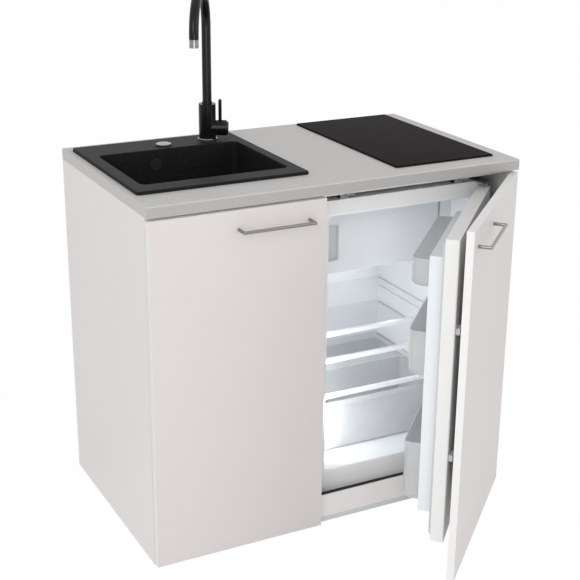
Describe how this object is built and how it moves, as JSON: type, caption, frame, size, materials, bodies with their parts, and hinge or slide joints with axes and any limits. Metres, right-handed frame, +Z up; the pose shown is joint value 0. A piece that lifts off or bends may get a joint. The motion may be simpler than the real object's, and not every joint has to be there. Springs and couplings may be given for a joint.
{
  "type": "kitchenette unit with sink, hob and refrigerator",
  "caption": "Metre-wide kitchenette: sink cabinet, refrigerator behind a front with a sliding link, inset sink, swivel tap and two-zone hob in one worktop.",
  "frame": {"origin": "on the floor in the plane of the unit's back, at the middle of its width", "axes": "+X to the right when facing the fronts, +Y into the wall behind, +Z up"},
  "size_m": [1.0041, 0.9695, 1.323],
  "materials": {
    "board_white": "satin",
    "fitting_zinc": "satin",
    "worktop_laminate": "matte",
    "front_white": "satin",
    "handle_chrome": "polished",
    "sink_composite": "matte",
    "waste_steel": "satin",
    "pipe_white": "satin",
    "control_black": "matte",
    "tap_black": "matte",
    "tap_inner": "satin",
    "hob_black_glass": "gloss",
    "hob_sheet": "satin",
    "heater_insulation": "matte",
    "fridge_white": "gloss",
    "liner_white": "gloss",
    "shelf_glass": "gloss",
    "trim_white": "gloss",
    "drawer_clear": "gloss",
    "gasket_grey": "matte",
    "hinge_steel": "satin",
    "machine_black": "matte",
    "slide_plastic": "satin"
  },
  "bodies": {
    "carcass": {"side_panel_left": "board_white", "side_panel_right": "board_white", "partition_panel": "board_white", "sink_cabinet_floor": "board_white", "front_rail_sink": "board_white", "front_rail_fridge": "board_white", "rear_rail_top": "board_white", "rear_rail_bottom": "board_white", "base_board": "board_white", "cam_fittings": "fitting_zinc", "hinge_arms": "fitting_zinc", "fixing_clips": "fitting_zinc", "worktop": "worktop_laminate", "tap_base_ring": "handle_chrome", "sink_basin": "sink_composite", "waste_flange": "waste_steel", "waste_cup": "pipe_white", "overflow_pipe": "pipe_white", "bottle_trap": "pipe_white", "waste_knob_housing": "control_black", "waste_cable": "control_black", "tap_body": "tap_black", "tap_cartridge": "tap_inner", "tap_shank": "tap_inner", "tap_nut": "tap_inner", "hob_glass": "hob_black_glass", "hob_tray": "hob_sheet", "hob_heaters": "heater_insulation", "fridge_cabinet": "fridge_white", "fridge_liner": "liner_white", "freezer_box": "liner_white", "thermostat_housing": "liner_white", "fridge_shelves": "shelf_glass", "shelf_trims": "trim_white", "fridge_hinges": "hinge_steel", "fridge_feet": "hinge_steel", "compressor": "machine_black", "condenser": "machine_black"},
    "sink_front": {"sink_door": "front_white", "sink_door_handle": "handle_chrome", "sink_door_hinge_cups": "fitting_zinc"},
    "decor_front": {"decor_door": "front_white", "decor_door_handle": "handle_chrome", "decor_door_hinge_cups": "fitting_zinc", "door_slide_rails": "slide_plastic"},
    "fridge_door": {"fridge_door_shell": "fridge_white", "fridge_door_liner": "liner_white", "fridge_door_gasket": "gasket_grey", "door_racks": "drawer_clear", "door_sliders": "slide_plastic"},
    "freezer_flap": {"freezer_flap": "liner_white"},
    "crisper": {"crisper_drawer": "drawer_clear"},
    "thermostat_dial": {"thermostat_knob": "liner_white"},
    "waste_control": {"waste_knob": "handle_chrome"},
    "plug": {"waste_plug": "waste_steel"},
    "spout": {"tap_spout": "tap_black", "tap_aerator": "handle_chrome"},
    "lever_hub": {"tap_lever_hub": "tap_black"},
    "lever": {"tap_lever_pin": "tap_black"}
  },
  "joints": [
    {"name": "sink_door_hinge", "type": "hinge", "parent": "carcass", "child": "sink_front", "pos_m": [-0.4925, -0.5905, 0.44], "axis": [0, 0, -1], "range_deg": [0, 90]},
    {"name": "decor_door_hinge", "type": "hinge", "parent": "carcass", "child": "decor_front", "pos_m": [0.4925, -0.5905, 0.44], "axis": [0, 0, 1], "range_deg": [-43.5, 46.5]},
    {"name": "fridge_door_hinge", "type": "hinge", "parent": "carcass", "child": "fridge_door", "pos_m": [0.426, -0.57, 0.464], "axis": [0, 0, 1], "range_deg": [-46.33, 49.52]},
    {"name": "freezer_flap_hinge", "type": "hinge", "parent": "carcass", "child": "freezer_flap", "pos_m": [0.354, -0.452, 0.716], "axis": [0, 0, 1], "range_deg": [0, 40]},
    {"name": "crisper_slide", "type": "slide", "parent": "carcass", "child": "crisper", "axis": [0, -1, 0], "range_m": [0, 0.06]},
    {"name": "thermostat_turn", "type": "hinge", "parent": "carcass", "child": "thermostat_dial", "pos_m": [0.374, -0.302, 0.5805], "axis": [-1, 0, 0], "range_deg": [0, 300]},
    {"name": "waste_knob_turn", "type": "hinge", "parent": "carcass", "child": "waste_control", "pos_m": [-0.2645, -0.111, 0.92], "axis": [0, 0, 1], "range_deg": [0, 90]},
    {"name": "waste_plug_lift", "type": "slide", "parent": "carcass", "child": "plug", "axis": [0, 0, 1], "range_m": [0, 0.008]},
    {"name": "tap_swivel", "type": "hinge", "parent": "carcass", "child": "spout", "pos_m": [-0.1325, -0.092, 0.99], "axis": [0, 0, 1], "range_deg": [-50, 90]},
    {"name": "tap_lever_temperature", "type": "hinge", "parent": "carcass", "child": "lever_hub", "pos_m": [-0.09718, -0.11078, 0.948], "axis": [0.8829, -0.4695, 0], "range_deg": [-45, 45]},
    {"name": "tap_lever_flow", "type": "hinge", "parent": "lever_hub", "child": "lever", "pos_m": [-0.10292, -0.10773, 0.948], "axis": [0.4695, 0.8829, 0], "range_deg": [0, 20]}
  ],
  "couplings": [
    {"joint": "fridge_door_hinge", "follows": "decor_door_hinge", "ratio": 1.065},
    {"joint": "waste_knob_turn", "follows": "waste_plug_lift", "rad_per_m": 196.35}
  ]
}
